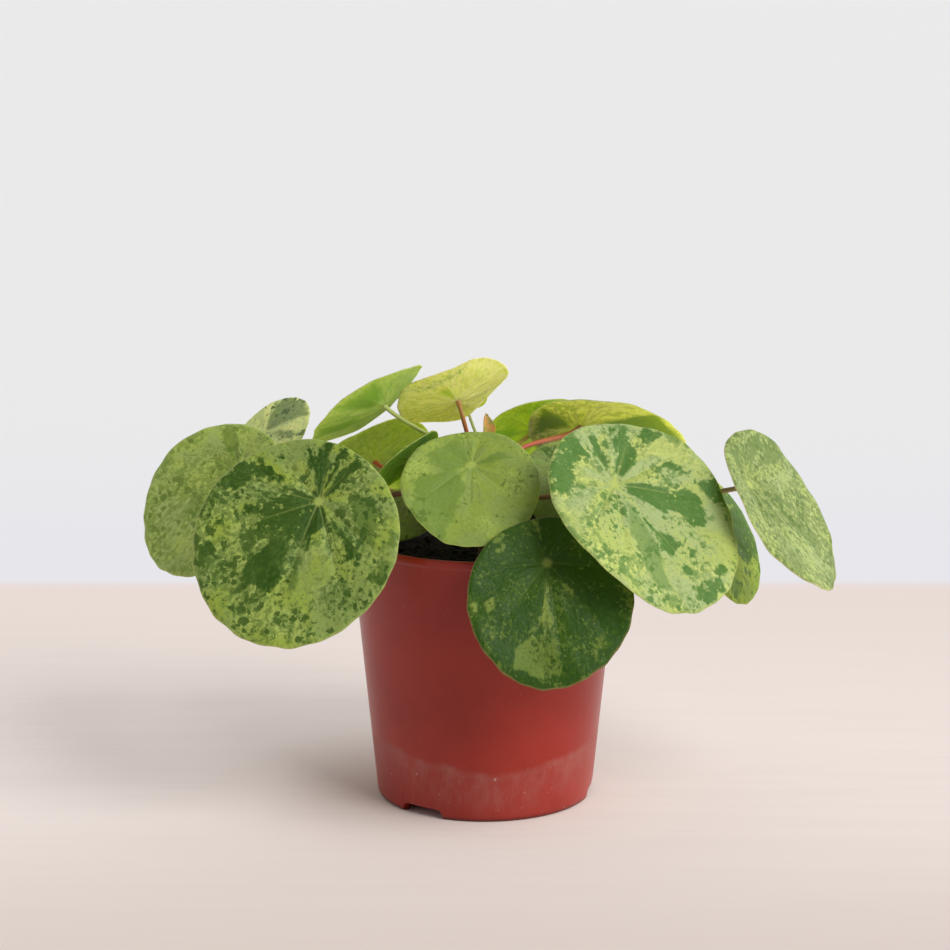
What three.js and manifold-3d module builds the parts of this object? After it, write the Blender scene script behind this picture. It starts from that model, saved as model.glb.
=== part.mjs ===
// A pilea (a Chinese money plant with variegated leaves) in a round plastic nursery pot.
// Millimetres, +Z up. The origin is the centre of the pot's foot, on the surface it stands on.
// The front of the plant is -Y and its right side is +X.

import * as THREE from 'three';
import { mergeVertices } from 'three/addons/utils/BufferGeometryUtils.js';
import Module from 'manifold-3d';

const wasm = await Module();
wasm.setup();

const gap = 0.3;                 // between pieces that touch
const degrees = THREE.MathUtils.degToRad;

// Pot: a 12 cm thermoformed nursery pot.
const potHeight = 120;
const rimRadius = 60;
const wallTopRadius = 59.2;      // outer wall just under the lip
const footRadius = 47.5;         // outer wall at the foot
const wallThickness = 1.2;
const lipHeight = 3.6;
const lipRound = 0.7;            // how far the lip's edges are eased
const lipInset = 0.5;            // the lip's inner edge stands this far out from the wall's
const basePlateZ = 4.6;          // underside of the raised base plate
const basePlateThickness = 1.4;
const baseCorner = [1.2, 1.5];   // ease inside the foot: inwards and up
const footRingInner = 44.2;      // the flat ring that the pot stands on
const footRingOuter = 46.8;
const footRingTaper = 0.6;       // the ring's inner wall leans in by this much
const potSides = 48;
const notchCount = 3;            // air notches in the foot
const notchStart = -36;          // degrees from the front, towards +X
const notchWidth = 21;
const notchHeight = 4;
const notchReach = 12;           // the cutter's depth through the wall
const drainCount = 6;
const drainRadius = 4.5;
const drainCircle = 28;
const drainSides = 12;

// Soil: a plug of dark peat with a plain hole for the stem.
const soilTop = 104;
const soilRelief = 1.3;          // height of the lumps on its surface
const soilRings = [0.85, 0.65, 0.45, 0.25];  // shares of its radius where the surface may rise

// Stem: a short woody trunk with a ring at each leaf scar.
const stemRadius = 3.6;
const stemFoot = 86;
const stemTop = 154;
const stemScarPitch = 6;
const stemHoleDepth = 20;
const stemWaist = 0.5;           // how much thinner it is between two scars
const stemSides = 12;

// Leaves.
const bladeThickness = 0.9;
const dentSpread = 35;           // degrees of the margin that a dent reaches to either side
const hubDimple = 1.6;           // how far the hub is sunk into the upper face
const hubDimpleRadius = 7;
const largeLeaf = 45;            // a leaf longer than this gets the finer mesh
const largeMesh = { spokes: 24, rings: 4 };
const smallMesh = { spokes: 16, rings: 3 };
const petioleSides = 6;
const petioleStep = 10;          // length of a straight piece of it
const leavingPull = 0.35;        // how far the curve keeps its first direction, as a share of its reach
const arrivingPull = 0.3;        // and its last direction

// One row for each leaf. hub is where the petiole meets the blade. face is the direction that the
// upper face looks in, in degrees from the front towards +X, and tilt is how far it leans from
// facing straight up. spin turns the tip in the blade's own plane, away from straight downhill.
// offset is the share of the length that the outline's centre lies from the hub, towards the tip.
// dent is the share by which the margin is flattened about the spoke dentAt, in degrees.
// arch and roll lower the blade along and across its length, as it would droop, and ripple waves
// its margin. The petiole starts at the height node on the stem, leaves it in the direction leave, in
// degrees from the front towards +X, climbing at the angle rise, and is thick across. bend is how far
// its upper end turns to meet the blade squarely.
// back_left, back_right, back_low and young are behind the others, where the front view hides them.
const leaves = [
  { name: 'far_left', hub: [-110, 28, 138], face: -36, tilt: 56, spin: -26, length: 77, width: 72,
    offset: 0.22, arch: 1, roll: -2, dent: 0.03, dentAt: 37, ripple: 1.2, waves: 3, phase: 20,
    node: 122, leave: -98, rise: 15, bend: 0.6, thick: 2.2 },
  { name: 'big_left', hub: [-71, -45, 143], face: -8, tilt: 60, spin: -23, length: 93, width: 88,
    offset: 0.22, arch: 1, roll: -1, dent: 0.03, dentAt: 60, ripple: 1.2, waves: 4, phase: 70,
    node: 130, leave: -75, rise: 35, bend: 0.6, thick: 2.4 },
  { name: 'rear_left', hub: [-100, 56, 150], face: -57, tilt: 44, spin: 90, length: 48, width: 44,
    offset: 0.12, arch: 1, roll: 0, dent: 0.2, dentAt: 152, ripple: 1.0, waves: 3, phase: 0,
    node: 128, leave: -90, rise: 4, bend: 1.3, thick: 1.8 },
  { name: 'upper_left', hub: [-44, -12, 178], face: -126, tilt: 45, spin: -12, length: 60, width: 56,
    offset: 0.12, arch: -4, roll: -6, dent: 0.06, dentAt: 250, ripple: 0.8, waves: 3, phase: 40,
    node: 141, leave: -145, rise: 45, bend: 0.3, thick: 2.0 },
  { name: 'mid_left', hub: [-50, 56, 137], face: -152, tilt: 51, spin: 170, length: 47, width: 48,
    offset: 0.21, arch: 2, roll: 2, dent: 0.05, dentAt: 200, ripple: 1.0, waves: 4, phase: 10,
    node: 133, leave: -128, rise: 25, bend: 0.6, thick: 2.0 },
  { name: 'narrow', hub: [-32, -15, 156], face: -124, tilt: 51, spin: 60, length: 36, width: 34,
    offset: 0.08, arch: 1, roll: 1, dent: 0.06, dentAt: 100, ripple: 0.6, waves: 3, phase: 0,
    node: 144, leave: -60, rise: 30, bend: 0.8, thick: 1.6 },
  { name: 'top', hub: [-12, -2, 178], face: -152, tilt: 43, spin: -13, length: 53, width: 51,
    offset: 0.02, arch: -3, roll: -5, dent: 0.2, dentAt: 318, ripple: 1.2, waves: 4, phase: 0,
    node: 151, leave: -90, rise: 75, bend: 0.2, thick: 2.0 },
  { name: 'centre', hub: [-6, -32, 156], face: -2, tilt: 38, spin: 0, length: 62, width: 60,
    offset: 0.21, arch: 1, roll: -2, dent: 0.05, dentAt: 315, ripple: 0.9, waves: 5, phase: 30,
    node: 139, leave: -10, rise: 55, bend: 0.6, thick: 2.0 },
  { name: 'inner_right', hub: [32, -2, 148], face: 10, tilt: 52, spin: 0, length: 40, width: 34,
    offset: 0.2, arch: 2, roll: 2, dent: 0.04, dentAt: 30, ripple: 0.6, waves: 3, phase: 0,
    node: 133, leave: 130, rise: 20, bend: 1.0, thick: 1.8 },
  { name: 'big_right', hub: [55, -51, 152], face: 34, tilt: 46, spin: 24, length: 95, width: 85,
    offset: 0.19, arch: 3, roll: -4, dent: 0.03, dentAt: 75, ripple: 1.4, waves: 4, phase: 50,
    node: 125, leave: 35, rise: 45, bend: 0.6, thick: 2.4 },
  { name: 'upper_right', hub: [43, 40, 157], face: 176, tilt: 42, spin: -79, length: 71, width: 67,
    offset: 0.17, arch: 4, roll: 5, dent: 0.14, dentAt: 287, ripple: 1.0, waves: 4, phase: 0,
    node: 143, leave: 120, rise: 60, bend: 0.1, thick: 2.2 },
  { name: 'rear_right', hub: [22, 54, 153], face: 196, tilt: 51, spin: -43, length: 55, width: 52,
    offset: 0.12, arch: 3, roll: 3, dent: 0.05, dentAt: 300, ripple: 1.0, waves: 3, phase: 0,
    node: 136, leave: -165, rise: 40, bend: 0.2, thick: 2.0 },
  { name: 'low_right', hub: [100, 18, 118], face: 59, tilt: 60, spin: 38, length: 63, width: 60,
    offset: 0.18, arch: 3, roll: 3, dent: 0.12, dentAt: 34, ripple: 1.0, waves: 3, phase: 0,
    node: 121, leave: 100, rise: 35, bend: 0.6, thick: 2.0 },
  { name: 'far_right', hub: [114, -27, 146], face: 68, tilt: 56, spin: 39, length: 82, width: 77,
    offset: 0.28, arch: 0, roll: -2, dent: 0.08, dentAt: 25, ripple: 1.2, waves: 4, phase: 0,
    node: 128, leave: 105, rise: 12, bend: 0.6, thick: 2.2 },
  { name: 'front_low', hub: [26, -71, 123], face: 4, tilt: 58, spin: 2, length: 74, width: 70,
    offset: 0.23, arch: 3, roll: -2, dent: 0.03, dentAt: 39, ripple: 1.0, waves: 5, phase: 0,
    node: 116, leave: 20, rise: 40, bend: 0.5, thick: 2.2 },
  { name: 'bud', hub: [1, 0, 160], face: 40, tilt: 80, spin: 175, length: 13, width: 6.5,
    offset: 0.36, arch: 0, roll: -2, dent: 0, dentAt: 0, ripple: 0, waves: 3, phase: 0,
    node: 155.3, leave: 0, rise: 90, bend: 1, thick: 1.4 },
  { name: 'inner_left', hub: [-34, -8, 133], face: -20, tilt: 35, spin: 0, length: 30, width: 30,
    offset: 0.15, arch: 2, roll: 2, dent: 0.05, dentAt: 140, ripple: 0.6, waves: 3, phase: 0,
    node: 118, leave: -60, rise: 20, bend: 0.6, thick: 1.6 },
  { name: 'young', hub: [-9, 37, 172], face: 175, tilt: 35, spin: 0, length: 22, width: 20,
    offset: 0.1, arch: 1, roll: 1, dent: 0.06, dentAt: 80, ripple: 0.4, waves: 3, phase: 0,
    node: 147, leave: 180, rise: 15, bend: 0.6, thick: 1.4 },
  { name: 'back_left', hub: [-56, 69, 123], face: 206, tilt: 60, spin: 10, length: 76, width: 72,
    offset: 0.26, arch: 3, roll: 2, dent: 0.05, dentAt: 330, ripple: 1.2, waves: 4, phase: 30,
    node: 118, leave: -150, rise: 50, bend: 0.2, thick: 2.2 },
  { name: 'back_right', hub: [72, 68, 114], face: 142, tilt: 60, spin: -10, length: 70, width: 66,
    offset: 0.26, arch: 3, roll: 2, dent: 0.06, dentAt: 30, ripple: 1.2, waves: 3, phase: 60,
    node: 121, leave: 140, rise: 50, bend: 0.2, thick: 2.2 },
  { name: 'back_low', hub: [-10, 75, 122], face: 186, tilt: 66, spin: 5, length: 62, width: 59,
    offset: 0.28, arch: 3, roll: 1, dent: 0.04, dentAt: 300, ripple: 1.0, waves: 4, phase: 0,
    node: 119, leave: 180, rise: 50, bend: 0.2, thick: 2.2 },
];

// Colours by the look of each piece.
const finishes = {
  pot: new THREE.MeshStandardMaterial({ color: 0x7a2d2a, roughness: 0.45, metalness: 0 }),
  soil: new THREE.MeshStandardMaterial({ color: 0x1d1713, roughness: 0.95, metalness: 0 }),
  stem: new THREE.MeshStandardMaterial({ color: 0x6b5138, roughness: 0.8, metalness: 0 }),
  blade: new THREE.MeshStandardMaterial({ color: 0x6f9040, roughness: 0.4, metalness: 0 }),
  darkBlade: new THREE.MeshStandardMaterial({ color: 0x2f5a22, roughness: 0.4, metalness: 0 }),
  paleBlade: new THREE.MeshStandardMaterial({ color: 0xb9c253, roughness: 0.4, metalness: 0 }),
  petiole: new THREE.MeshStandardMaterial({ color: 0xa5695a, roughness: 0.5, metalness: 0 }),
};
const bladeFinish = { front_low: finishes.darkBlade, top: finishes.paleBlade, bud: finishes.paleBlade };

const plant = new THREE.Group();

function addPiece(name, geometry, material) {
  const mesh = new THREE.Mesh(geometry, material);
  mesh.name = name;
  plant.add(mesh);
  return mesh;
}

// A closed profile of [radius, height] points turned round the vertical axis.
function turned(profile, sides) {
  const points = profile.map(([radius, height]) => new THREE.Vector2(radius, height));
  return new THREE.LatheGeometry(points, sides).rotateX(Math.PI / 2);
}

function toSolid(geometry) {
  const bare = geometry.clone();
  bare.deleteAttribute('normal');
  bare.deleteAttribute('uv');
  const merged = mergeVertices(bare, 1e-4);
  return new wasm.Manifold(new wasm.Mesh({
    numProp: 3,
    vertProperties: Float32Array.from(merged.attributes.position.array),
    triVerts: Uint32Array.from(merged.index.array),
  }));
}

function toGeometry(solid) {
  const mesh = solid.getMesh();
  const geometry = new THREE.BufferGeometry();
  geometry.setAttribute('position', new THREE.BufferAttribute(mesh.vertProperties, 3));
  geometry.setIndex(new THREE.BufferAttribute(mesh.triVerts, 1));
  geometry.computeVertexNormals();
  return geometry;
}

function outerWallRadius(z) {
  return footRadius + (wallTopRadius - footRadius) * z / (potHeight - lipHeight);
}

function innerWallRadius(z) {
  return outerWallRadius(z) - wallThickness;
}

// The direction at an angle from the front, towards +X, in the horizontal plane.
function outward(angle) {
  return new THREE.Vector3(Math.sin(angle), -Math.cos(angle), 0);
}

function potGeometry() {
  const floorZ = basePlateZ + basePlateThickness;
  const [cornerIn, cornerUp] = baseCorner;
  const shell = turned([
    [0, basePlateZ],
    [footRingInner - footRingTaper, basePlateZ],
    [footRingInner, 0],
    [footRingOuter, 0],
    [footRadius, 1],
    [wallTopRadius, potHeight - lipHeight],
    [rimRadius, potHeight - lipHeight + lipRound],
    [rimRadius, potHeight - lipRound],
    [rimRadius - lipRound, potHeight],
    [wallTopRadius - wallThickness + lipInset, potHeight],
    [wallTopRadius - wallThickness, potHeight - lipHeight],
    [innerWallRadius(floorZ + cornerUp), floorZ + cornerUp],
    [innerWallRadius(floorZ) - cornerIn, floorZ],
    [0, floorZ],
  ], potSides);
  let pot = toSolid(shell);
  for (let i = 0; i < notchCount; i++) {
    const angle = degrees(notchStart + i * 360 / notchCount);
    const notch = new THREE.BoxGeometry(notchWidth, notchReach, 2 * notchHeight);
    notch.rotateZ(angle);
    notch.translate(...outward(angle).multiplyScalar(footRingOuter).toArray());
    pot = pot.subtract(toSolid(notch));
  }
  for (let i = 0; i < drainCount; i++) {
    const place = outward(degrees(i * 360 / drainCount)).multiplyScalar(drainCircle);
    const drain = new THREE.CylinderGeometry(drainRadius, drainRadius, 2 * basePlateZ, drainSides);
    drain.rotateX(Math.PI / 2);
    drain.translate(place.x, place.y, basePlateZ);
    pot = pot.subtract(toSolid(drain));
  }
  return toGeometry(pot);
}

// A slow and a quick wave across the surface, in mm.
function soilBump(x, y) {
  const slow = Math.sin(x / 8 + 1) * Math.cos(y / 7);
  const quick = Math.sin(x / 3.1 + y / 4.3) * Math.cos(y / 3.7 - x / 6);
  return soilRelief * (0.6 * slow + 0.4 * quick);
}

function soilGeometry() {
  const bottom = basePlateZ + basePlateThickness + gap;
  const holeRadius = stemRadius + gap;
  const edge = innerWallRadius(soilTop) - gap;
  const [cornerIn, cornerUp] = baseCorner;
  const soil = turned([
    [0, bottom],
    [innerWallRadius(bottom) - cornerIn - gap, bottom],
    [innerWallRadius(bottom + cornerUp) - gap, bottom + cornerUp],
    [edge, soilTop],
    ...soilRings.map((share) => [edge * share, soilTop]),
    [holeRadius, soilTop],
    [holeRadius, soilTop - stemHoleDepth],
    [0, soilTop - stemHoleDepth],
  ], potSides);
  const position = soil.attributes.position;
  for (let i = 0; i < position.count; i++) {
    const [x, y, z] = [position.getX(i), position.getY(i), position.getZ(i)];
    const radius = Math.hypot(x, y);
    const onTop = z > soilTop - 0.01 && radius > holeRadius + 1 && radius < edge - 1;
    if (onTop) position.setZ(i, z + soilBump(x, y));
  }
  soil.computeVertexNormals();
  return soil;
}

// The trunk swells a little at each leaf scar and ends in a blunt tip.
function stemGeometry() {
  const profile = [[0, stemFoot], [stemRadius - stemWaist, stemFoot]];
  for (let z = stemFoot + stemScarPitch; z < stemTop - 2; z += stemScarPitch) {
    profile.push([stemRadius - stemWaist, z - stemScarPitch / 4], [stemRadius, z]);
  }
  profile.push([stemRadius / 1.5, stemTop], [0, stemTop + 1]);
  return turned(profile, stemSides);
}

// The blade's own axes: from the hub to the tip, across, and the way the upper face looks.
function bladeAxes(leaf) {
  const [face, tilt, spin] = [degrees(leaf.face), degrees(leaf.tilt), degrees(leaf.spin)];
  const normal = outward(face).multiplyScalar(Math.sin(tilt)).setZ(Math.cos(tilt));
  const downhill = outward(face).multiplyScalar(Math.cos(tilt)).setZ(-Math.sin(tilt));
  const tip = downhill.applyAxisAngle(normal, spin);
  const across = new THREE.Vector3().crossVectors(normal, tip);
  return { tip, across, normal };
}

// A point of the upper face: share runs from 0 at the hub to 1 at the margin, along a spoke.
function bladePoint(leaf, share, spoke) {
  const fromDent = Math.sin((spoke - degrees(leaf.dentAt)) / 2) / Math.sin(degrees(dentSpread) / 2);
  const reach = share * (1 - leaf.dent * Math.exp(-(fromDent ** 2)));
  const along = reach * (leaf.offset * leaf.length + leaf.length / 2 * Math.cos(spoke));
  const across = reach * leaf.width / 2 * Math.sin(spoke);
  const hollow = hubDimple * Math.min(1, leaf.length / 60);
  const rise = hollow * (1 - Math.exp(-(along ** 2 + across ** 2) / hubDimpleRadius ** 2));
  const archDrop = leaf.arch * (2 * along / leaf.length) ** 2;
  const rollDrop = leaf.roll * (2 * across / leaf.width) ** 2;
  const wave = leaf.ripple * share ** 3 * Math.sin(leaf.waves * spoke + degrees(leaf.phase));
  return new THREE.Vector3(along, across, rise - archDrop - rollDrop + wave);
}

// A thin blade of triangles in rings round the hub, split alike on both faces.
function bladeGeometry(leaf) {
  const { spokes, rings } = leaf.length > largeLeaf ? largeMesh : smallMesh;
  const positions = [];
  const indices = [];
  const layer = (drop) => {
    const first = positions.length / 3;
    positions.push(0, 0, -drop);
    for (let ring = 1; ring <= rings; ring++) {
      for (let spoke = 0; spoke < spokes; spoke++) {
        const point = bladePoint(leaf, ring / rings, 2 * Math.PI * spoke / spokes);
        positions.push(point.x, point.y, point.z - drop);
      }
    }
    return (ring, spoke) => (ring === 0 ? first : first + 1 + (ring - 1) * spokes + spoke % spokes);
  };
  const upper = layer(0);
  const lower = layer(bladeThickness);
  for (let spoke = 0; spoke < spokes; spoke++) {
    indices.push(upper(0, 0), upper(1, spoke), upper(1, spoke + 1));
    indices.push(lower(0, 0), lower(1, spoke + 1), lower(1, spoke));
    for (let ring = 1; ring < rings; ring++) {
      const near = [ring, spoke];
      const nearNext = [ring, spoke + 1];
      const far = [ring + 1, spoke];
      const farNext = [ring + 1, spoke + 1];
      indices.push(upper(...near), upper(...far), upper(...farNext));
      indices.push(upper(...near), upper(...farNext), upper(...nearNext));
      indices.push(lower(...near), lower(...farNext), lower(...far));
      indices.push(lower(...near), lower(...nearNext), lower(...farNext));
    }
    indices.push(upper(rings, spoke), lower(rings, spoke), lower(rings, spoke + 1));
    indices.push(upper(rings, spoke), lower(rings, spoke + 1), upper(rings, spoke + 1));
  }
  const geometry = new THREE.BufferGeometry();
  geometry.setAttribute('position', new THREE.Float32BufferAttribute(positions, 3));
  geometry.setIndex(indices);
  geometry.computeVertexNormals();
  return geometry;
}

// The petiole leaves the trunk at its node and bends to meet the hub from below.
function petiolePath(leaf) {
  const { normal } = bladeAxes(leaf);
  const radius = leaf.thick / 2;
  const rise = degrees(leaf.rise);
  const side = outward(degrees(leaf.leave));
  const fromTrunk = leaf.node < stemTop ? stemRadius + gap + radius * Math.sin(rise) : 0;
  const start = side.clone().multiplyScalar(fromTrunk).setZ(leaf.node);
  const leaving = side.clone().multiplyScalar(Math.cos(rise)).setZ(Math.sin(rise));
  const hub = new THREE.Vector3(...leaf.hub);
  const reach = start.distanceTo(hub);
  const arrival = start.clone().sub(hub).normalize().addScaledVector(normal, -leaf.bend).normalize();
  const slope = -arrival.dot(normal);
  const clearance = (gap + radius * Math.sqrt(1 - slope ** 2)) / slope;
  const end = hub.clone().addScaledVector(normal, -bladeThickness).addScaledVector(arrival, clearance);
  return new THREE.CubicBezierCurve3(
    start,
    start.clone().addScaledVector(leaving, leavingPull * reach),
    end.clone().addScaledVector(arrival, arrivingPull * reach),
    end,
  );
}

function petioleGeometry(leaf) {
  const section = new THREE.Shape();
  for (let i = 0; i < petioleSides; i++) {
    const angle = 2 * Math.PI * i / petioleSides;
    const [x, y] = [leaf.thick / 2 * Math.cos(angle), leaf.thick / 2 * Math.sin(angle)];
    if (i === 0) section.moveTo(x, y);
    else section.lineTo(x, y);
  }
  section.closePath();
  const path = petiolePath(leaf);
  const steps = Math.max(2, Math.round(path.getLength() / petioleStep));
  return new THREE.ExtrudeGeometry(section, { steps, bevelEnabled: false, extrudePath: path });
}

addPiece('pot', potGeometry(), finishes.pot);
addPiece('soil', soilGeometry(), finishes.soil);
addPiece('stem', stemGeometry(), finishes.stem);
for (const leaf of leaves) {
  const finish = bladeFinish[leaf.name] ?? finishes.blade;
  const blade = addPiece(`blade_${leaf.name}`, bladeGeometry(leaf), finish);
  const { tip, across, normal } = bladeAxes(leaf);
  blade.quaternion.setFromRotationMatrix(new THREE.Matrix4().makeBasis(tip, across, normal));
  blade.position.set(...leaf.hub);
  addPiece(`petiole_${leaf.name}`, petioleGeometry(leaf), finishes.petiole);
}

export default plant;
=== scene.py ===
# A variegated pilea in a plastic nursery pot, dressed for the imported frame.
# Metres, +Z up, the front of the plant is -Y. Leaf sizes are written in millimetres, as in the part.
import math
import random

import bpy
import numpy as np
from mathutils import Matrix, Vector, noise


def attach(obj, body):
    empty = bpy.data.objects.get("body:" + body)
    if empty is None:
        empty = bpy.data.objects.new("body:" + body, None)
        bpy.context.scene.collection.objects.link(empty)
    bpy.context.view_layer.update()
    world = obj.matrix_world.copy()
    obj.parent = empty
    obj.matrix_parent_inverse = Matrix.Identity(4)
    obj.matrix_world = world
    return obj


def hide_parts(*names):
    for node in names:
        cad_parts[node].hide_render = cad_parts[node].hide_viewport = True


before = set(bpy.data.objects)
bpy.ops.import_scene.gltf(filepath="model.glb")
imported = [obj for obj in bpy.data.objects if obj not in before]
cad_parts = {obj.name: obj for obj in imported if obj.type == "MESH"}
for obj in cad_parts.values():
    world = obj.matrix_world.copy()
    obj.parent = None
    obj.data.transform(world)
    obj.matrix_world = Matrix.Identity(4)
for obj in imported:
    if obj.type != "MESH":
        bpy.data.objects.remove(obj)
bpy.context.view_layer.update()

MM = 0.001
UP = np.array([0.0, 0.0, 1.0])

# ---------------------------------------------------------------- sizes, as in the part (mm)

POT_HEIGHT, RIM_RADIUS, WALL_TOP_RADIUS, FOOT_RADIUS = 120.0, 60.0, 59.2, 47.5
WALL, LIP_HEIGHT, LIP_ROUND, LIP_INSET = 1.2, 3.6, 0.7, 0.5
BASE_Z, BASE_THICKNESS, BASE_CORNER = 4.6, 1.4, (1.2, 1.5)
RING_INNER, RING_OUTER, RING_TAPER = 44.2, 46.8, 0.6
NOTCHES, NOTCH_START, NOTCH_WIDTH, NOTCH_HEIGHT = 3, -36.0, 21.0, 4.0
DRAINS, DRAIN_RADIUS, DRAIN_CIRCLE = 6, 4.5, 28.0
SOIL_TOP, STEM_RADIUS, STEM_TOP = 104.0, 3.6, 154.0
GAP = 0.3
BLADE, DIMPLE, DIMPLE_RADIUS, DENT_SPREAD = 0.9, 1.6, 7.0, 35.0

# ---------------------------------------------------------------- sizes that only the scene has (mm)

VEINS, VEIN_WAVES, VEIN_SWAY = 9, 3.0, 0.16      # veins round the hub, and how they wander in turns
PATCH_REACH = 8.0                                # how far inside or outside a patch is told apart
SMALL_LEAF = 45.0                                # a blade up to this long needs fewer points
PETIOLE_ROWS, PETIOLE_SIDES = 44, 14
SCAR_STEP, STEM_FOOT = 6.0, 86.0
CRUMBS, WELL_DEPTH = 420, 18.0
FAN_RADIUS = 12.0                                # the fan of faces in the middle of the base plate

# ---------------------------------------------------------------- leaves

LEAF_KEYS = ("hub face tilt spin length width offset arch roll dent dent_at ripple waves phase "
             "node leave rise bend thick").split()
LEAVES = {
    "far_left": [(-110, 28, 138), -36, 56, -26, 77, 72, .22, 1, -2, .03, 37, 1.2, 3, 20,
                 122, -98, 15, .6, 2.2],
    "big_left": [(-71, -45, 143), -8, 60, -23, 93, 88, .22, 1, -1, .03, 60, 1.2, 4, 70,
                 130, -75, 35, .6, 2.4],
    "rear_left": [(-100, 56, 150), -57, 44, 90, 48, 44, .12, 1, 0, .2, 152, 1.0, 3, 0,
                  128, -90, 4, 1.3, 1.8],
    "upper_left": [(-44, -12, 178), -126, 45, -12, 60, 56, .12, -4, -6, .06, 250, .8, 3, 40,
                   141, -145, 45, .3, 2.0],
    "mid_left": [(-50, 56, 137), -152, 51, 170, 47, 48, .21, 2, 2, .05, 200, 1.0, 4, 10,
                 133, -128, 25, .6, 2.0],
    "narrow": [(-32, -15, 156), -124, 51, 60, 36, 34, .08, 1, 1, .06, 100, .6, 3, 0,
               144, -60, 30, .8, 1.6],
    "top": [(-12, -2, 178), -152, 43, -13, 53, 51, .02, -3, -5, .2, 318, 1.2, 4, 0,
            151, -90, 75, .2, 2.0],
    "centre": [(-6, -32, 156), -2, 38, 0, 62, 60, .21, 1, -2, .05, 315, .9, 5, 30,
               139, -10, 55, .6, 2.0],
    "inner_right": [(32, -2, 148), 10, 52, 0, 40, 34, .2, 2, 2, .04, 30, .6, 3, 0,
                    133, 130, 20, 1.0, 1.8],
    "big_right": [(55, -51, 152), 34, 46, 24, 95, 85, .19, 3, -4, .03, 75, 1.4, 4, 50,
                  125, 35, 45, .6, 2.4],
    "upper_right": [(43, 40, 157), 176, 42, -79, 71, 67, .17, 4, 5, .14, 287, 1.0, 4, 0,
                    143, 120, 60, .1, 2.2],
    "rear_right": [(22, 54, 153), 196, 51, -43, 55, 52, .12, 3, 3, .05, 300, 1.0, 3, 0,
                   136, -165, 40, .2, 2.0],
    "low_right": [(100, 18, 118), 59, 60, 38, 63, 60, .18, 3, 3, .12, 34, 1.0, 3, 0,
                  121, 100, 35, .6, 2.0],
    "far_right": [(114, -27, 146), 68, 56, 39, 82, 77, .28, 0, -2, .08, 25, 1.2, 4, 0,
                  128, 105, 12, .6, 2.2],
    "front_low": [(26, -71, 123), 4, 58, 2, 74, 70, .23, 3, -2, .03, 39, 1.0, 5, 0,
                  116, 20, 40, .5, 2.2],
    "bud": [(1, 0, 160), 40, 80, 175, 13, 6.5, .36, 0, -2, 0, 0, 0, 3, 0,
            155.3, 0, 90, 1, 1.4],
    "inner_left": [(-34, -8, 133), -20, 35, 0, 30, 30, .15, 2, 2, .05, 140, .6, 3, 0,
                   118, -60, 20, .6, 1.6],
    "young": [(-9, 37, 172), 175, 35, 0, 22, 20, .1, 1, 1, .06, 80, .4, 3, 0,
              147, 180, 15, .6, 1.4],
    "back_left": [(-56, 69, 123), 206, 60, 10, 76, 72, .26, 3, 2, .05, 330, 1.2, 4, 30,
                  118, -150, 50, .2, 2.2],
    "back_right": [(72, 68, 114), 142, 60, -10, 70, 66, .26, 3, 2, .06, 30, 1.2, 3, 60,
                   121, 140, 50, .2, 2.2],
    "back_low": [(-10, 75, 122), 186, 66, 5, 62, 59, .28, 3, 1, .04, 300, 1.0, 4, 0,
                 119, 180, 50, .2, 2.2],
}

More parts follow.
